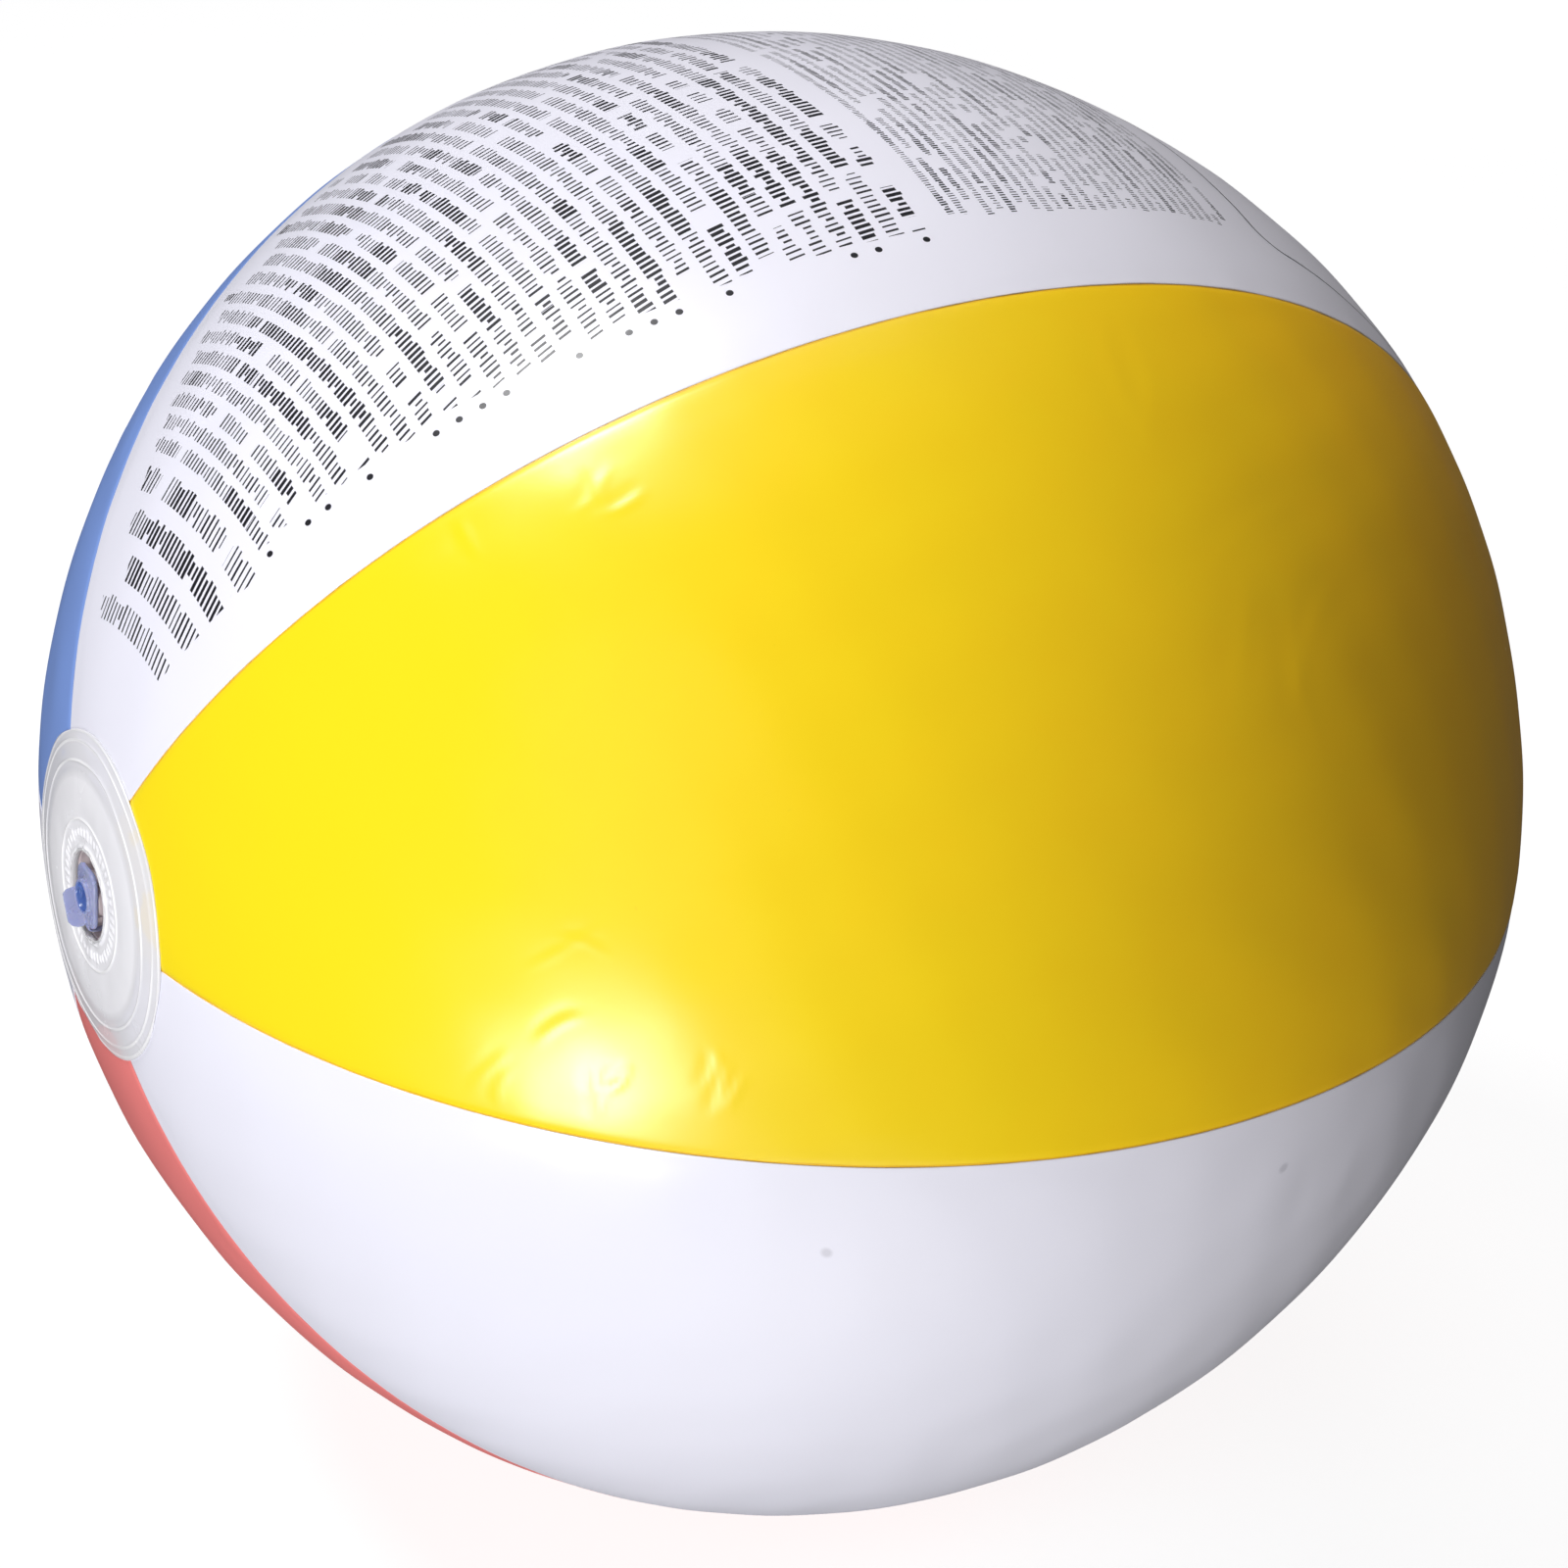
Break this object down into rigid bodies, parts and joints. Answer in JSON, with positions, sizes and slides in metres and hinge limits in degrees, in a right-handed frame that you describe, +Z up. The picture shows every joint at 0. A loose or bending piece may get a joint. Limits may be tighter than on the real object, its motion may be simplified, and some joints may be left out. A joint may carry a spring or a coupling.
{
  "type": "inflatable beach ball",
  "caption": "Inflated beach ball of coloured and white film panels with welded end discs and a push-in air valve with a tethered stopper.",
  "frame": {"origin": "middle of the small flat patch the ball rests on", "axes": "the ball's axis runs along X with the valve facing -X, +Z up"},
  "size_m": [0.4072, 0.41, 0.399],
  "materials": {
    "white_film": "glossy vinyl film",
    "blue_film": "glossy vinyl film",
    "red_film": "glossy vinyl film",
    "yellow_film": "glossy vinyl film",
    "milky_film": "milky translucent vinyl",
    "clear_vinyl": "clear soft vinyl",
    "blue_vinyl": "translucent soft vinyl"
  },
  "bodies": {
    "ball": {"panel_white_top": "white_film", "panel_blue": "blue_film", "panel_white_back": "white_film", "panel_red": "red_film", "panel_white_front": "white_film", "panel_yellow": "yellow_film", "valve_disc": "milky_film", "far_disc": "milky_film", "valve_flange": "milky_film", "valve_web": "clear_vinyl"},
    "stem": {"valve_stem": "clear_vinyl", "tether_collar": "blue_vinyl", "tether_strap": "blue_vinyl"},
    "flap": {"check_flap": "clear_vinyl"},
    "plug": {"stopper": "blue_vinyl"}
  },
  "joints": [
    {"name": "valve_push", "type": "slide", "parent": "ball", "child": "stem", "axis": [-1, 0, 0], "range_m": [0, 0.012], "deforming": ["valve_web"]},
    {"name": "plug_pull", "type": "slide", "parent": "stem", "child": "plug", "axis": [-1, 0, 0], "range_m": [0, 0.012], "deforming": ["tether_strap"]},
    {"name": "flap_open", "type": "hinge", "parent": "stem", "child": "flap", "pos_m": [-0.1828, 0, 0.2036], "axis": [0, -1, 0], "range_deg": [0, 60], "stiffness_Nm_per_rad": 0.00002}
  ]
}
